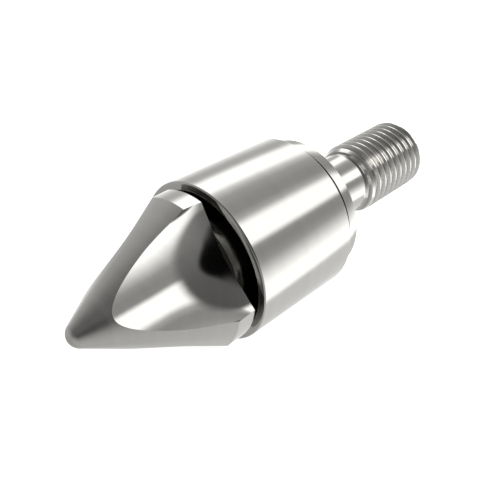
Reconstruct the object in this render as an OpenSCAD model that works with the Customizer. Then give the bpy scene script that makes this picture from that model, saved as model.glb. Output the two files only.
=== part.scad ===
// Screw tip set with a sliding check ring: the non-return valve at the front of an injection screw.
// Axis along Y: the nose points to -Y and the threaded shank to +Y.
// Origin on the axis, in the rear face of the seat ring, where the set bears on the end of the screw.

/* [Check ring] */
// Outside diameter of the check ring, a running fit in the barrel
ring_od = 50; // [46:0.5:80]
// Length of the check ring
ring_len = 37; // [20:0.5:60]
// Wall of the check ring
ring_wall = 4.5; // [3.5:0.1:6]
// Radial width of the flat stop face at the front of the ring
stop_width = 2.4; // [1.6:0.1:3.4]
// Chamfer on the ring's outer edges
ring_edge = 0.3; // [0.1:0.1:0.8]
// Axial travel of the ring between the seat and the wings
stroke = 2.5; // [1:0.1:6]

/* [Seat ring] */
// Thickness of the seat ring
seat_thick = 6.7; // [4:0.1:12]
// Radial width of the flat sealing face under the check ring's rear end
seal_width = 1.2; // [0.4:0.1:2]
// Length of the seat ring's neck, between the sealing face and the rim
seal_neck_len = 2.4; // [1:0.1:3]
// Radial height of the rim above the neck
rim_height = 0.8; // [0.5:0.1:1.4]
// Chamfer on the front edge of the rim
rim_edge = 0.4; // [0.1:0.1:0.5]
// Chamfer on the rear edges of the seat ring
seat_edge = 0.6; // [0.2:0.1:1]
// Radial clearance of the seat ring on its land
seat_clearance = 0.03; // [0.01:0.01:0.1]

/* [Head] */
// Radial step from the check ring's outside down to the wing lands
wing_step = 1.4; // [0.4:0.1:2]
// Length of the parallel wing lands
wing_land = 5.75; // [2:0.25:12]
// Number of wings
wing_count = 3; // [3:1:4]
// Width of one wing at its land, as an angle about the axis
wing_angle = 31; // [24:1:45]
// Included angle of the nose cone
nose_angle = 60; // [45:1:90]
// Radius at the point of the nose
nose_r = 3.9; // [1:0.1:6]
// Distance from the axis to the deepest line of a flute
flute_floor = 8.1; // [6:0.1:10]
// Radius of the curve at the rear of a flute, seen from the side
runout_r = 27.5; // [20:0.5:45]
// Slope of the ramp that the curve leads up to
runout_slope = 36; // [25:1:50]
// Radius of the ramp's hollow floor, seen from the end
ramp_hollow_r = 80; // [50:1:200]
// Radial step from the stem down to the end of a flute's ramp
exit_step = 2; // [0.5:0.05:3]
// Angle of the first flute's centre about the axis, from +X towards +Z
flute_start = 38; // [0:0.5:119.5]

/* [Stem and shank] */
// Radial height of the melt channel between the stem and the check ring
channel = 3.25; // [1.5:0.25:5]
// Chamfer on the edge of the stem's shoulder
stem_edge = 0.5; // [0.2:0.1:1]
// Diameter of the land that carries the seat ring
land_d = 26; // [25:0.5:29]
// Length of the neck behind the seat ring
neck_len = 20.5; // [8:0.5:40]
// Radial depth of the neck below the root of the thread
neck_relief = 0.16; // [0.05:0.01:1]
// Outside diameter of the thread
thread_d = 24; // [16:1:24]
// Thread pitch
thread_pitch = 3; // [1.5:0.5:3.5]
// Length of the threaded shank, with its chamfers
thread_len = 32; // [20:1:50]
// Axial length of the chamfer between the neck and the thread's crest
lead_front = 4; // [1:0.5:6]
// Axial length of the chamfer at the shank's end
lead_back = 2; // [1:0.25:3]

/* [Hidden] */

$fn = 96;

// Radii about the axis
ring_r = ring_od / 2;
bore_r = ring_r - ring_wall;
stop_r = ring_r - stop_width;
seal_r = bore_r + seal_width;
rim_r = seal_r + rim_height;
wing_r = ring_r - wing_step;
stem_r = bore_r - channel;
land_r = land_d / 2;
thread_r = thread_d / 2;
thread_depth = 0.6134 * thread_pitch;
root_r = thread_r - thread_depth;
neck_r = root_r - neck_relief;

// Stations along the axis, as heights before the part is laid along Y
ring_back = -seat_thick;
ring_front = ring_back - ring_len;
wing_back = ring_front - stroke;
wing_front = wing_back - wing_land;
cone_half = nose_angle / 2;
cone_point = wing_front - wing_r / tan(cone_half);
nose_centre = cone_point + nose_r / sin(cone_half);
nose_join = nose_centre - nose_r * sin(cone_half);
nose_join_r = nose_r * cos(cone_half);
thread_back = neck_len + thread_len;

// The land ends just inside the seat ring, so that the screw clamps the ring and not the land
land_relief = 0.3;
land_edge = 0.5;

// Flutes
flute_pitch = 360 / wing_count;
flute_half = (flute_pitch - wing_angle) / 2;
cut_over = 1;
// A flute is round, and leaves the given width of wing on each side of it
flute_centre = (wing_r ^ 2 - flute_floor ^ 2) / (2 * (wing_r * cos(flute_half) - flute_floor));
flute_r = flute_centre - flute_floor;

// The floor curves up to the ramp's slope, and the ramp goes on to the wings' rear face
exit_r = stem_r - exit_step;
// The curve starts just below the deepest line, so that the two round floors cross and don't only touch
curve_sink = 0.05;
curve_base = flute_floor - curve_sink;
runout_rise = exit_r - curve_base;
ramp_slope = min(runout_slope, acos(1 - runout_rise / runout_r));
curve_len = runout_r * sin(ramp_slope);
curve_rise = runout_r * (1 - cos(ramp_slope));
ramp_len = (runout_rise - curve_rise) / tan(ramp_slope);
ramp_start = wing_back - ramp_len;
curve_start = ramp_start - curve_len;
hollow_axis = exit_r + ramp_hollow_r;

// Thread section: a sixty degree form with a flat crest
root_sink = 0.25;
flank = tan(30);
crest_half = thread_pitch / 16;
turn_steps = 40;
// Half the width of the ridge where it starts inside the root
ridge_room = crest_half + (thread_depth + root_sink) * flank;
// The crest passes this height at the angle zero about the axis
crest_phase = 2.72;

// Lays a shape that was built along Z down along Y
module along_y() {
    rotate([-90, 0, 0]) children();
}

// Turned outline of the head: a cone with a round point and a parallel land
module head_outline() {
    polygon([
        [0, nose_join], [nose_join_r, nose_join], [wing_r, wing_front], [wing_r, wing_back], [0, wing_back]
    ]);
    intersection() {
        translate([0, nose_centre]) circle(nose_r);
        translate([0, nose_centre - nose_r]) square([nose_r, nose_join - nose_centre + nose_r]);
    }
}

// One flute: a round trough along the axis that ramps up at the rear
module flute_cut() {
    intersection() {
        translate([hollow_axis, 0]) rotate_extrude($fn = 360) {
            translate([hollow_axis, 0]) mirror([1, 0]) side_outline();
        }
        translate([flute_centre, 0, cone_point]) cylinder(wing_back - cone_point + cut_over, r = flute_r);
    }
}

// Side view of the space a flute clears, with height upwards and distance from the axis to the right
module side_outline() {
    corner = [curve_base, curve_start + runout_r * tan(ramp_slope / 2)];
    difference() {
        polygon([
            [curve_base, cone_point], corner, [exit_r + cut_over * tan(ramp_slope), wing_back + cut_over],
            [hollow_axis, wing_back + cut_over], [hollow_axis, cone_point]
        ]);
        curve_fill(corner);
    }
}

// The small area between the curve at the rear of a flute and the corner that it rounds
module curve_fill(corner) {
    centre = [curve_base + runout_r, curve_start];
    difference() {
        polygon([corner, [curve_base, curve_start], centre, [curve_base + curve_rise, ramp_start]]);
        translate(centre) circle(runout_r);
    }
}

// Turned outline of the stem, the land, the neck and the root of the thread
module shank_outline() {
    root_start = neck_len + lead_front * neck_relief / (thread_r - neck_r);
    polygon([
        [0, wing_back - cut_over], [flute_floor, wing_back - cut_over],
        [flute_floor, wing_back], [stem_r, wing_back],
        [stem_r, ring_back - stem_edge], [stem_r - stem_edge, ring_back],
        [land_r, ring_back], [land_r, -land_relief - land_edge],
        [land_r - land_edge, -land_relief], [neck_r, -land_relief],
        [neck_r, neck_len], [root_r, root_start],
        [root_r, thread_back - lead_back + thread_depth],
        [thread_r - lead_back, thread_back], [0, thread_back]
    ]);
}

// Highest radius the thread may reach at height z: full, and chamfered at both ends
function thread_top(z) = min(
    thread_r,
    neck_r + (z - neck_len) * (thread_r - neck_r) / lead_front,
    thread_r + thread_back - lead_back - z
);

// One section of the thread's ridge at the given turn, from base to crest and back
function ridge_ring(turn) =
    let (
        z = crest_phase + turn * thread_pitch,
        base = root_r - root_sink,
        base_half = crest_half + (thread_r - base) * flank,
        top = max(base + 0.05, min(thread_top(z - base_half), thread_top(z + crest_half))),
        top_half = crest_half + (thread_r - top) * flank,
        angle = 360 * turn
    )
    [for (p = [[base, -base_half], [top, -top_half], [top, top_half], [base, base_half]])
        [p[0] * cos(angle), p[0] * sin(angle), z + p[1]]];

// Helical ridge of the thread
module thread_ridge() {
    first = ceil((neck_len + ridge_room - crest_phase) / thread_pitch * turn_steps);
    last = floor((thread_back - ridge_room - crest_phase) / thread_pitch * turn_steps);
    rings = last - first + 1;
    points = [for (i = [first:last]) each ridge_ring(i / turn_steps)];
    sides = [for (i = [0:rings - 2]) for (k = [0:3])
        let (a = 4 * i + k, b = 4 * i + (k + 1) % 4)
        each [[a, b, b + 4], [a, b + 4, a + 4]]];
    last_ring = 4 * (rings - 1);
    ends = [
        [3, 2, 1], [3, 1, 0],
        [last_ring, last_ring + 1, last_ring + 2], [last_ring, last_ring + 2, last_ring + 3]
    ];
    polyhedron(points, concat(sides, ends));
}

// Winged nose, stem and threaded shank, turned and milled from one bar
module screw_tip() {
    color([0.78, 0.78, 0.76]) along_y() {
        difference() {
            rotate_extrude() head_outline();
            for (i = [0:wing_count - 1]) rotate([0, 0, -flute_start - i * flute_pitch]) flute_cut();
        }
        rotate_extrude() shank_outline();
        thread_ridge();
    }
}

// Check ring, floating between the wings and the seat ring
module check_ring() {
    color([0.72, 0.72, 0.70]) along_y() rotate_extrude() polygon([
        [bore_r, ring_back], [ring_r - ring_edge, ring_back], [ring_r, ring_back - ring_edge],
        [ring_r, ring_front + ring_edge], [ring_r - ring_edge, ring_front], [stop_r, ring_front],
        [bore_r, ring_front + stop_r - bore_r]
    ]);
}

// Seat ring, clamped between the stem's shoulder and the end of the screw
module seat_ring() {
    hole_r = land_r + seat_clearance;
    rim_front = ring_back + seal_neck_len;
    color([0.74, 0.74, 0.72]) along_y() rotate_extrude() polygon([
        [hole_r, ring_back], [seal_r, ring_back], [seal_r, rim_front],
        [rim_r - rim_edge, rim_front], [rim_r, rim_front + rim_edge],
        [rim_r, -seat_edge], [rim_r - seat_edge, 0], [hole_r + seat_edge, 0], [hole_r, -seat_edge]
    ]);
}

screw_tip();
check_ring();
seat_ring();
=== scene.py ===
from math import asin, cos, pi, radians, sin, sqrt, tan

import bmesh
import bpy
from mathutils import Matrix, Vector


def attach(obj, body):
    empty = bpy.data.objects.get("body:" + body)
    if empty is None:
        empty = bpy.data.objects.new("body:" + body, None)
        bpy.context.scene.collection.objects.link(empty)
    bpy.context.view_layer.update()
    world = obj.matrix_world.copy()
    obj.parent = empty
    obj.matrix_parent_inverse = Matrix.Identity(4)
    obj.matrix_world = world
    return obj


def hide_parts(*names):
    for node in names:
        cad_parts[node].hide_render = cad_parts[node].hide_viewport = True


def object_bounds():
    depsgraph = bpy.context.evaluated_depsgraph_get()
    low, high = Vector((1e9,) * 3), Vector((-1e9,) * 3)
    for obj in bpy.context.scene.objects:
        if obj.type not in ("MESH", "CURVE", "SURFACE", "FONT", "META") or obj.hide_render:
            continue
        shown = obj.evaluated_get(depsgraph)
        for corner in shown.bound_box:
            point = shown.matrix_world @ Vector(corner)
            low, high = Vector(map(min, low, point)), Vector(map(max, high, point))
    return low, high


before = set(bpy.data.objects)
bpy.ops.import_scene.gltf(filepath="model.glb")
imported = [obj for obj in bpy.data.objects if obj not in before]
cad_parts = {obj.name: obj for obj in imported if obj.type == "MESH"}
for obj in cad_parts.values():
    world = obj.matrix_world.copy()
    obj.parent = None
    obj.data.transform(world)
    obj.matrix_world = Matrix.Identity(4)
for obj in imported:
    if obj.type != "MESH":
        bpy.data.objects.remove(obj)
cad_low, cad_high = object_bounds()
scene = bpy.context.scene
scene.view_settings.view_transform = "Standard"

# Sizes in millimetres, as (distance from the axis, station along the axis) where they make an outline.
# The axis is Y: the nose points to -Y, and the seat ring's rear face lies at zero.
MM = 0.001

# Distances from the axis
RING_R = 25.0
BORE_R = 20.5
STOP_R = 22.6
SEAL_R = 21.7
RIM_R = 22.5
WING_R = 23.6
STEM_R = 17.25
STEM_CORE_R = 7.0
LAND_R = 13.0
LAND_GAP = 0.03
NECK_R = 10.0
ROOT_R = 10.16
THREAD_R = 12.0
OUTSIDE_R = 40.0

# Stations along the axis
RING_BACK = -6.7
RING_FRONT = -43.7
WING_BACK = -46.2
STOP_GAP = 0.02
HEAD_BACK = WING_BACK - STOP_GAP
WING_FRONT = -51.95
RIM_FRONT = -4.3
LAND_BACK = -0.3
NECK_BACK = 20.5
THREAD_BACK = 52.5

# Broken and chamfered corners
BREAK = 0.08
RING_EDGE = 0.3
RIM_EDGE = 0.4
SEAT_EDGE = 0.6
STEM_EDGE = 0.5
THREAD_LEAD = 4.0
THREAD_CHAMFER = 2.0

NOSE_SLOPE = radians(30)
NOSE_R = 3.9
CONE_POINT = WING_FRONT - WING_R / tan(NOSE_SLOPE)
NOSE_CENTRE = CONE_POINT + NOSE_R / sin(NOSE_SLOPE)

WING_COUNT = 3
FLUTE_START = radians(38)
FLUTE_HALF = radians(44.5)
FLUTE_FLOOR = 8.1
FLUTE_CENTRE = (WING_R ** 2 - FLUTE_FLOOR ** 2) / (2 * (WING_R * cos(FLUTE_HALF) - FLUTE_FLOOR))
FLUTE_R = FLUTE_CENTRE - FLUTE_FLOOR
CURVE_R = 27.5
RAMP_SLOPE = radians(36)
RAMP_TOP = 15.25
FLUTE_SIDE = 17.1
CUTTER_HALF = 18.5
CUTTER_GRID = (110, 130)

PITCH = 3.0
CREST_PHASE = 2.72
RIDGE_TURNS = 12
RIDGE_STEPS = 96

TURN_STEPS = 240
HEAD_STEPS = 360
SHARP = radians(14)

# Order of the steels on the tip
# The last steel is near-black painted shade for recesses where little light reaches
NOSE, FLUTE, BAR, THREAD, SHADED_RECESS = range(5)

# Camera, in metres
LENS = 48.54
CAMERA_AT = (0.11806, -0.1443, 0.11615)
CAMERA_RIGHT = (0.712, 0.702, 0.0)
CAMERA_BACK = (0.571, -0.580, 0.581)

# Studio: brightness by the angle round the axis, in degrees from +X towards +Z
STRIPS = [
    (-180, 0.9), (-170, 1.25), (-161, 1.45), (-120, 1.0), (-100, 0.8), (-50, 0.8),
    (-44, 1.7), (-22, 1.7), (-12, 1.25), (-2, 0.8), (8, 0.45), (18, 0.37), (30, 0.37),
    (36, 1.7), (60, 1.7), (68, 0.6), (78, 0.38), (90, 0.4), (105, 0.5), (115, 0.9),
    (121, 1.7), (143, 1.7), (152, 0.7), (158, 0.57), (168, 0.6), (180, 0.9),
]
FRONT = [
    (-180, 0.6), (-135, 0.42), (-60, 0.6), (-18, 0.45), (-4, 0.3), (11, 0.22), (41, 0.15),
    (86, 0.11), (124, 0.2), (156, 0.42), (180, 0.6),
]
FRONT_TO_STRIPS = (-0.12, 0.12)
SCREEN_TOWARD = (0.66, -0.67, 0.35)
SCREEN_CORE = radians(14)
SCREEN_EDGE = radians(20)
SCREEN_LEVEL = 0.01
FLOOR_SIZE = 3.0
FLOOR_GLOW = 0.8

# Surface detail
BUMP_UNIT = 1e-6
BROAD_RINGS = 260.0
CLOUDS = 55.0
# Painted highlight on the corners
EDGE_SHEEN_GAIN = 0.06
# Painted shade in the thread's roots, and a lighter tone on its crests
ROOT_SHADE_TONES = (0.65, 1.25)


# Camera: an isometric view from the nose side, level across the frame
def add_camera():
    data = bpy.data.cameras.new("camera")
    data.lens = LENS
    data.sensor_width = 36.0
    data.clip_start = 0.01
    camera = bpy.data.objects.new("camera", data)
    scene.collection.objects.link(camera)
    right = Vector(CAMERA_RIGHT).normalized()
    back = Vector(CAMERA_BACK).normalized()
    up = back.cross(right).normalized()
    back = right.cross(up)
    turn = Matrix((right, up, back)).transposed().to_4x4()
    camera.matrix_world = Matrix.Translation(CAMERA_AT) @ turn
    scene.camera = camera


# Node helpers
class Nodes:
    def __init__(self, tree):
        self.tree = tree

    def add(self, kind, **settings):
        node = self.tree.nodes.new(kind)
        for name, value in settings.items():
            setattr(node, name, value)
        return node

    def link(self, source, target):
        self.tree.links.new(source, target)

    def math(self, operation, *values):
        node = self.add("ShaderNodeMath", operation=operation)
        for socket, value in zip(node.inputs, values):
            if isinstance(value, (int, float)):
                socket.default_value = value
            else:
                self.link(value, socket)
        return node.outputs[0]

    def spread(self, value, low, high, to_low, to_high, smooth=True):
        node = self.add("ShaderNodeMapRange")
        node.interpolation_type = "SMOOTHSTEP" if smooth else "LINEAR"
        self.link(value, node.inputs["Value"])
        node.inputs["From Min"].default_value = low
        node.inputs["From Max"].default_value = high
        node.inputs["To Min"].default_value = to_low
        node.inputs["To Max"].default_value = to_high
        return node.outputs["Result"]

    def ramp(self, value, stops):
        node = self.add("ShaderNodeValToRGB")
        self.link(value, node.inputs["Fac"])
        elements = node.color_ramp.elements
        elements[0].position = 0.0
        elements[1].position = 1.0
        for k, (position, level) in enumerate(stops):
            if k == 0:
                element = elements[0]
            elif k == len(stops) - 1:
                element = elements[-1]
            else:
                element = elements.new(position)
            element.position = position
            element.color = (level, level, level, 1)
        return node.outputs["Color"]


# Angles in degrees become positions on a colour ramp
def by_angle(stops):
    return [((degrees + 180) / 360, level) for degrees, level in stops]


# Studio: strip lights and gaps around the axis, and a dark room in front of the nose
def add_studio():
    world = bpy.data.worlds.new("studio")
    scene.world = world
    world.use_nodes = True
    world.node_tree.nodes.clear()
    nodes = Nodes(world.node_tree)
    out = nodes.add("ShaderNodeOutputWorld")
    coord = nodes.add("ShaderNodeTexCoord")
    split = nodes.add("ShaderNodeSeparateXYZ")
    nodes.link(coord.outputs["Generated"], split.inputs[0])
    angle = nodes.math("ARCTAN2", split.outputs["Z"], split.outputs["X"])
    turn = nodes.spread(angle, -pi, pi, 0, 1, smooth=False)
    strips = nodes.ramp(turn, by_angle(STRIPS))
    front = nodes.ramp(turn, by_angle(FRONT))
    mix = nodes.add("ShaderNodeMix", data_type="RGBA")
    nodes.link(nodes.spread(split.outputs["Y"], *FRONT_TO_STRIPS, 0, 1), mix.inputs["Factor"])
    nodes.link(front, mix.inputs["A"])
    nodes.link(strips, mix.inputs["B"])
    glow = nodes.add("ShaderNodeBackground")
    nodes.link(mix.outputs["Result"], glow.inputs["Color"])
    # A black screen beside the camera
    screen = nodes.add("ShaderNodeVectorMath", operation="DOT_PRODUCT")
    nodes.link(coord.outputs["Generated"], screen.inputs[0])
    screen.inputs[1].default_value = Vector(SCREEN_TOWARD).normalized()
    shade = nodes.spread(screen.outputs["Value"], cos(SCREEN_EDGE), cos(SCREEN_CORE), 1, SCREEN_LEVEL)
    nodes.link(shade, glow.inputs["Strength"])
    # Seen directly, the room is plain white
    plain = nodes.add("ShaderNodeBackground")
    plain.inputs["Color"].default_value = (1, 1, 1, 1)
    path = nodes.add("ShaderNodeLightPath")
    choose = nodes.add("ShaderNodeMixShader")
    nodes.link(path.outputs["Is Camera Ray"], choose.inputs[0])
    nodes.link(glow.outputs[0], choose.inputs[1])
    nodes.link(plain.outputs[0], choose.inputs[2])
    nodes.link(choose.outputs[0], out.inputs[0])


# Floor: white paper, seen directly; in the steel the studio shows instead
def add_floor():
    bm = bmesh.new()
    bmesh.ops.create_grid(bm, x_segments=1, y_segments=1, size=FLOOR_SIZE)
    bmesh.ops.translate(bm, verts=bm.verts, vec=(0, 0, cad_low[2]))
    mesh = bpy.data.meshes.new("floor")
    bm.to_mesh(mesh)
    bm.free()
    floor = bpy.data.objects.new("floor", mesh)
    scene.collection.objects.link(floor)
    mat = bpy.data.materials.new("floor_paper")
    mat.use_nodes = True
    nodes = Nodes(mat.node_tree)
    paper = mat.node_tree.nodes["Principled BSDF"]
    out = mat.node_tree.nodes["Material Output"]
    paper.inputs["Base Color"].default_value = (0.9, 0.9, 0.9, 1)
    paper.inputs["Roughness"].default_value = 0.9
    paper.inputs["Emission Color"].default_value = (1, 1, 1, 1)
    paper.inputs["Emission Strength"].default_value = FLOOR_GLOW
    clear = nodes.add("ShaderNodeBsdfTransparent")
    path = nodes.add("ShaderNodeLightPath")
    choose = nodes.add("ShaderNodeMixShader")
    nodes.link(path.outputs["Is Camera Ray"], choose.inputs[0])
    nodes.link(clear.outputs[0], choose.inputs[1])
    nodes.link(paper.outputs[0], choose.inputs[2])
    nodes.link(choose.outputs[0], out.inputs["Surface"])
    mesh.materials.append(mat)


# Shared surface effects
def add_group(name, inputs, outputs):
    tree = bpy.data.node_groups.new(name, "ShaderNodeTree")
    for socket, value in inputs:
        item = tree.interface.new_socket(socket, in_out="INPUT", socket_type="NodeSocketFloat")
        item.default_value = value
    for socket in outputs:
        tree.interface.new_socket(socket, in_out="OUTPUT", socket_type="NodeSocketFloat")
    nodes = Nodes(tree)
    return tree, nodes, nodes.add("NodeGroupInput"), nodes.add("NodeGroupOutput")


# Fine rings that a lathe or a grinding wheel leaves round the axis
def turned_marks_group():
    tree, nodes, given, out = add_group(
        "turned_marks", [("Rings per metre", 3000.0)], ["Height", "Shade", "Radius"])
    coord = nodes.add("ShaderNodeTexCoord")
    split = nodes.add("ShaderNodeSeparateXYZ")
    nodes.link(coord.outputs["Object"], split.inputs[0])
    radius = nodes.math("SQRT", nodes.math("ADD", nodes.math("POWER", split.outputs["X"], 2.0),
                                           nodes.math("POWER", split.outputs["Z"], 2.0)))
    along = nodes.math("ADD", split.outputs["Y"], radius)
    fine = nodes.add("ShaderNodeTexNoise", noise_dimensions="1D")
    nodes.link(nodes.math("MULTIPLY", along, given.outputs["Rings per metre"]), fine.inputs["W"])
    fine.inputs["Scale"].default_value = 1.0
    fine.inputs["Detail"].default_value = 3.0
    broad = nodes.add("ShaderNodeTexNoise", noise_dimensions="1D")
    nodes.link(nodes.math("MULTIPLY", along, BROAD_RINGS), broad.inputs["W"])
    broad.inputs["Scale"].default_value = 1.0
    nodes.link(fine.outputs["Fac"], out.inputs["Height"])
    nodes.link(broad.outputs["Fac"], out.inputs["Shade"])
    nodes.link(radius, out.inputs["Radius"])
    return tree


# Grain of hardened steel, and the faint clouding of a wiped surface
def steel_grain_group():
    tree, nodes, given, out = add_group("steel_grain", [("Grains per metre", 5000.0)], ["Grain", "Cloud"])
    coord = nodes.add("ShaderNodeTexCoord")
    grain = nodes.add("ShaderNodeTexNoise")
    nodes.link(coord.outputs["Object"], grain.inputs["Vector"])
    nodes.link(given.outputs["Grains per metre"], grain.inputs["Scale"])
    grain.inputs["Detail"].default_value = 2.0
    cloud = nodes.add("ShaderNodeTexNoise")
    nodes.link(coord.outputs["Object"], cloud.inputs["Vector"])
    cloud.inputs["Scale"].default_value = CLOUDS
    cloud.inputs["Detail"].default_value = 4.0
    nodes.link(grain.outputs["Fac"], out.inputs["Grain"])
    nodes.link(cloud.outputs["Fac"], out.inputs["Cloud"])
    return tree


# Painted highlight: corners brighter where the surface is pointy
def edge_sheen_group():
    tree, nodes, given, out = add_group("edge_sheen", [("Start", 0.52), ("End", 0.6)], ["Mask"])
    shape = nodes.add("ShaderNodeNewGeometry")
    node = nodes.add("ShaderNodeMapRange", interpolation_type="SMOOTHSTEP")
    nodes.link(shape.outputs["Pointiness"], node.inputs["Value"])
    nodes.link(given.outputs["Start"], node.inputs["From Min"])
    nodes.link(given.outputs["End"], node.inputs["From Max"])
    nodes.link(node.outputs["Result"], out.inputs["Mask"])
    return tree


# Steel of one finish: rings per metre, and the depths of rings and grain in bump units
def steel(name, colour, rough, marks, marks_depth, grain_depth, tint=0.04, root_shade=None):
    mat = bpy.data.materials.new(name)
    mat.use_nodes = True
    nodes = Nodes(mat.node_tree)
    shader = mat.node_tree.nodes["Principled BSDF"]
    shader.inputs["Metallic"].default_value = 1.0
    turned = nodes.add("ShaderNodeGroup", node_tree=TURNED)
    turned.inputs["Rings per metre"].default_value = marks
    grain = nodes.add("ShaderNodeGroup", node_tree=GRAIN)
    sheen = nodes.add("ShaderNodeGroup", node_tree=EDGE_SHEEN)
    # Colour: clouded a little, ringed a little, with a painted highlight on the corners
    shade = nodes.math("ADD", nodes.math("MULTIPLY", turned.outputs["Shade"], 0.5),
                       nodes.math("MULTIPLY", grain.outputs["Cloud"], 0.5))
    tone = nodes.spread(shade, 0.3, 0.7, 1 - tint, 1 + tint, smooth=False)
    tone_and_painted_light = nodes.math("ADD", tone, nodes.math("MULTIPLY", sheen.outputs["Mask"], EDGE_SHEEN_GAIN))
    if root_shade:
        # Painted shade: darker between the crests, and lighter on the crests
        tone_and_painted_light = nodes.math("MULTIPLY", tone_and_painted_light, nodes.spread(turned.outputs["Radius"], *root_shade, *ROOT_SHADE_TONES))
    blend = nodes.add("ShaderNodeMix", data_type="RGBA", blend_type="MULTIPLY")
    blend.inputs["Factor"].default_value = 1.0
    blend.inputs["A"].default_value = (*colour, 1)
    nodes.link(tone_and_painted_light, blend.inputs["B"])
    nodes.link(blend.outputs["Result"], shader.inputs["Base Color"])
    # Roughness: varied by the rings and the clouds
    dull = nodes.math("MULTIPLY", nodes.math("SUBTRACT", shade, 0.5), rough * 0.5)
    nodes.link(nodes.math("ADD", dull, rough), shader.inputs["Roughness"])
    # Height: ring marks over the grain
    height = nodes.math("ADD", nodes.math("MULTIPLY", turned.outputs["Height"], marks_depth),
                        nodes.math("MULTIPLY", grain.outputs["Grain"], grain_depth))
    bump = nodes.add("ShaderNodeBump")
    bump.inputs["Strength"].default_value = 1.0
    bump.inputs["Distance"].default_value = BUMP_UNIT
    nodes.link(height, bump.inputs["Height"])
    nodes.link(bump.outputs["Normal"], shader.inputs["Normal"])
    return mat


# Mesh helpers
def scratch_object(name, bm, mats):
    mesh = bpy.data.meshes.new(name)
    bm.to_mesh(mesh)
    bm.free()
    for mat in mats:
        mesh.materials.append(mat)
    piece = bpy.data.objects.new(name, mesh)
    scene.collection.objects.link(piece)
    return piece


def arc(centre, radius, start, end, count):
    angles = [start + (end - start) * k / count for k in range(count + 1)]
    return [(centre[0] + radius * cos(a), centre[1] + radius * sin(a)) for a in angles]


def outline_edges(bm, outline, closed):
    verts = [bm.verts.new((r * MM, y * MM, 0)) for r, y in outline]
    pairs = zip(verts, verts[1:] + verts[:1]) if closed else zip(verts, verts[1:])
    return verts + [bm.edges.new(pair) for pair in pairs]


def tidy(bm):
    bmesh.ops.remove_doubles(bm, verts=bm.verts, dist=1e-7)
    bmesh.ops.recalc_face_normals(bm, faces=bm.faces)


# Spins an outline round the axis, and breaks its corners with a small bevel
def turned(outline, closed, corner=0, steps=TURN_STEPS):
    bm = bmesh.new()
    geom = outline_edges(bm, outline, closed)
    bmesh.ops.spin(bm, geom=geom, axis=(0, 1, 0), cent=(0, 0, 0), angle=2 * pi, steps=steps, use_merge=True)
    tidy(bm)
    if corner:
        sharp = [e for e in bm.edges if len(e.link_faces) == 2 and e.calc_face_angle() > SHARP]
        bmesh.ops.bevel(bm, geom=sharp, offset=corner * MM, offset_type="OFFSET", affect="EDGES",
                        segments=3, profile=0.5, material=-1, clamp_overlap=True)
    return bm


def combine(target, other, operation):
    step = target.modifiers.new("combine", "BOOLEAN")
    step.operation = operation
    step.solver = "EXACT"
    step.object = other
    bpy.context.view_layer.update()
    graph = bpy.context.evaluated_depsgraph_get()
    mesh = bpy.data.meshes.new_from_object(target.evaluated_get(graph), depsgraph=graph)
    target.modifiers.clear()
    target.data = mesh
    bpy.data.objects.remove(other)


def finish_piece(piece, body, node):
    mesh = piece.data
    mesh.polygons.foreach_set("use_smooth", [True] * len(mesh.polygons))
    mesh.set_sharp_from_angle(angle=SHARP)
    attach(piece, body)
    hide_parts(node)


# Height of the curve and ramp at the rear of a flute, above the flute's deepest line
def ramp_height(station):
    curve_rise = CURVE_R * (1 - cos(RAMP_SLOPE))
    ramp_start = WING_BACK - (RAMP_TOP - FLUTE_FLOOR - curve_rise) / tan(RAMP_SLOPE)
    curve_start = ramp_start - CURVE_R * sin(RAMP_SLOPE)
    if station <= curve_start:
        return 0
    if station >= ramp_start:
        return curve_rise + (station - ramp_start) * tan(RAMP_SLOPE)
    return CURVE_R * (1 - cos(asin((station - curve_start) / CURVE_R)))


# Distance from the axis to a flute's surface: a round trough that rises and flattens into a ramp
def flute_surface(across, station):
    trough = FLUTE_CENTRE - sqrt(FLUTE_R ** 2 - across ** 2)
    return trough + ramp_height(station) * max(0, 1 - abs(across / FLUTE_SIDE) ** 3)


# Everything outside a flute's surface, turned to the flute's place
def flute_cutter(index):
    front = CONE_POINT
    back = WING_BACK + 1.0
    bm = bmesh.new()
    bmesh.ops.create_grid(bm, x_segments=CUTTER_GRID[0], y_segments=CUTTER_GRID[1], size=1.0)
    for vert in bm.verts:
        across = vert.co.x * CUTTER_HALF
        station = front + (back - front) * (vert.co.y + 1) / 2
        vert.co = Vector((flute_surface(across, station), station, across)) * MM
    bmesh.ops.recalc_face_normals(bm, faces=bm.faces)
    made = bmesh.ops.extrude_face_region(bm, geom=bm.faces[:])
    for item in made["geom"]:
        if isinstance(item, bmesh.types.BMVert):
            item.co.x = OUTSIDE_R * MM
    tidy(bm)
    turn = Matrix.Rotation(-(FLUTE_START + index * 2 * pi / WING_COUNT), 3, "Y")
    bmesh.ops.rotate(bm, verts=bm.verts, cent=(0, 0, 0), matrix=turn)
    for face in bm.faces:
        face.material_index = FLUTE
    return scratch_object("flute_cutter", bm, TIP_STEELS)


# Cone with a round nose, and the band that the wings' outsides are left from
def head():
    nose = arc((0, NOSE_CENTRE), NOSE_R, -pi / 2, -NOSE_SLOPE, 16)
    outline = nose + [(WING_R, WING_FRONT), (WING_R, HEAD_BACK), (0, HEAD_BACK)]
    bm = turned(outline, False, steps=HEAD_STEPS)
    for face in bm.faces:
        on_band = WING_FRONT < face.calc_center_median().y / MM < HEAD_BACK - 0.01
        face.material_index = BAR if on_band else NOSE
    return scratch_object("head", bm, TIP_STEELS)


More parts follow.
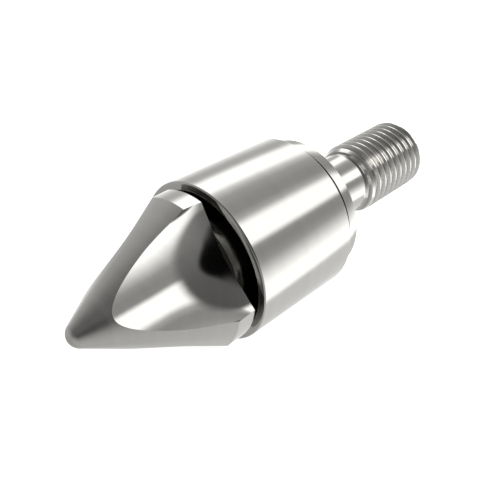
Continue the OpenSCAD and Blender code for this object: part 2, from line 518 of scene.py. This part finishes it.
# Stem inside the check ring, land under the seat ring, neck, and the thread's root
def shank():
    stem_front = HEAD_BACK - 0.02
    root_start = NECK_BACK + THREAD_LEAD * (ROOT_R - NECK_R) / (THREAD_R - NECK_R)
    outline = [
        (0, WING_BACK - 4), (STEM_CORE_R, WING_BACK - 4), (STEM_CORE_R, stem_front), (STEM_R, stem_front),
        (STEM_R, RING_BACK - STEM_EDGE), (STEM_R - STEM_EDGE, RING_BACK), (LAND_R, RING_BACK),
        (LAND_R, LAND_BACK - STEM_EDGE), (LAND_R - STEM_EDGE, LAND_BACK), (NECK_R, LAND_BACK),
        (NECK_R, NECK_BACK), (ROOT_R, root_start), (ROOT_R, THREAD_BACK - 0.16),
        (THREAD_R - THREAD_CHAMFER, THREAD_BACK), (0, THREAD_BACK),
    ]
    bm = turned(outline, False, BREAK)
    # Painted shade: the step face in front of the stem takes the near-black steel
    for face in bm.faces:
        in_shaded_recess = abs(face.calc_center_median().y / MM - WING_BACK) < 0.05
        face.material_index = SHADED_RECESS if in_shaded_recess else BAR
    return scratch_object("shank", bm, TIP_STEELS)


# Outer limit of the thread: full, and chamfered at both ends
def thread_limit():
    outline = [
        (0, NECK_BACK - 1), (NECK_R - 0.5, NECK_BACK - 1), (THREAD_R, NECK_BACK + THREAD_LEAD),
        (THREAD_R, THREAD_BACK - THREAD_CHAMFER), (THREAD_R - THREAD_CHAMFER, THREAD_BACK),
        (0, THREAD_BACK),
    ]
    bm = turned(outline, False)
    for face in bm.faces:
        face.material_index = THREAD
    return scratch_object("thread_limit", bm, TIP_STEELS)


# Helical ridge: right-hand, with sixty degree flanks that start below the root
def thread_ridge():
    flank = tan(radians(30))
    base = ROOT_R - 0.4
    top = THREAD_R + 0.2
    half_base = PITCH / 16 + (THREAD_R - base) * flank
    half_top = PITCH / 16 + (THREAD_R - top) * flank
    start = CREST_PHASE + 5 * PITCH
    outline = [
        (base, start - half_base), (top, start - half_top),
        (top, start + half_top), (base, start + half_base),
    ]
    bm = bmesh.new()
    geom = outline_edges(bm, outline, True)
    bmesh.ops.spin(bm, geom=geom, axis=(0, 1, 0), cent=(0, 0, 0), angle=2 * pi * RIDGE_TURNS,
                   steps=RIDGE_STEPS * RIDGE_TURNS, dvec=(0, PITCH / RIDGE_STEPS * MM, 0))
    bmesh.ops.holes_fill(bm, edges=[e for e in bm.edges if e.is_boundary])
    tidy(bm)
    for face in bm.faces:
        face.material_index = THREAD
    return scratch_object("thread_ridge", bm, TIP_STEELS)


def add_tip():
    tip = head()
    for k in range(WING_COUNT):
        combine(tip, flute_cutter(k), "DIFFERENCE")
    thread = thread_ridge()
    combine(thread, thread_limit(), "INTERSECT")
    bar = shank()
    combine(bar, thread, "UNION")
    combine(tip, bar, "UNION")
    tip.name = "tip_bar"
    tip.data.name = "tip_bar"
    finish_piece(tip, "tip", "screw_tip")


def add_check_ring():
    bm = turned([
        (BORE_R, RING_BACK), (RING_R - RING_EDGE, RING_BACK), (RING_R, RING_BACK - RING_EDGE),
        (RING_R, RING_FRONT + RING_EDGE), (RING_R - RING_EDGE, RING_FRONT), (STOP_R, RING_FRONT),
        (BORE_R, RING_FRONT + STOP_R - BORE_R),
    ], True, BREAK)
    shell = scratch_object("check_ring_shell", bm, [RING_STEEL])
    finish_piece(shell, "ring", "check_ring")


def add_seat_ring():
    hole = LAND_R + LAND_GAP
    bm = turned([
        (hole, RING_BACK), (SEAL_R, RING_BACK), (SEAL_R, RIM_FRONT), (RIM_R - RIM_EDGE, RIM_FRONT),
        (RIM_R, RIM_FRONT + RIM_EDGE), (RIM_R, -SEAT_EDGE), (RIM_R - SEAT_EDGE, 0),
        (hole + SEAT_EDGE, 0), (hole, -SEAT_EDGE),
    ], True, BREAK)
    # Painted shade: the groove faces behind the rim take the near-black second steel
    for face in bm.faces:
        middle = face.calc_center_median() / MM
        if RING_BACK < middle.y < RIM_FRONT + 0.35 and middle.xz.length > SEAL_R - 0.05:
            face.material_index = 1
    disc = scratch_object("seat_ring_disc", bm, [SEAT_STEEL, RECESS_SHADE_STEEL])
    finish_piece(disc, "tip", "seat_ring")


add_camera()
add_studio()
add_floor()

TURNED = turned_marks_group()
GRAIN = steel_grain_group()
# Painted highlight on the corners of every steel
EDGE_SHEEN = edge_sheen_group()
WARM = (0.62, 0.61, 0.585)
GROUND = steel("nose_ground", WARM, 0.36, 2500.0, 1.0, 1.0)
POLISHED = steel("flute_polished", WARM, 0.1, 1500.0, 0.0, 0.3)
TURNED_STEEL = steel("shank_turned", WARM, 0.14, 2500.0, 1.0, 0.5)
# The thread's steel has painted shade in its roots
THREAD_STEEL = steel("thread_cut", WARM, 0.12, 2500.0, 0.5, 0.5, root_shade=(0.0104, 0.0118))
# Near-black steel: painted shade for the seat ring's groove and the stem's step
RECESS_SHADE_STEEL = steel("recess_painted_shade", (0.05, 0.046, 0.042), 0.3, 2500.0, 0.5, 0.5)
TIP_STEELS = [GROUND, POLISHED, TURNED_STEEL, THREAD_STEEL, RECESS_SHADE_STEEL]
RING_STEEL = steel("ring_ground", WARM, 0.13, 3000.0, 1.0, 1.0)
SEAT_STEEL = steel("seat_ground", WARM, 0.13, 3000.0, 1.0, 0.5)

add_tip()
add_check_ring()
add_seat_ring()
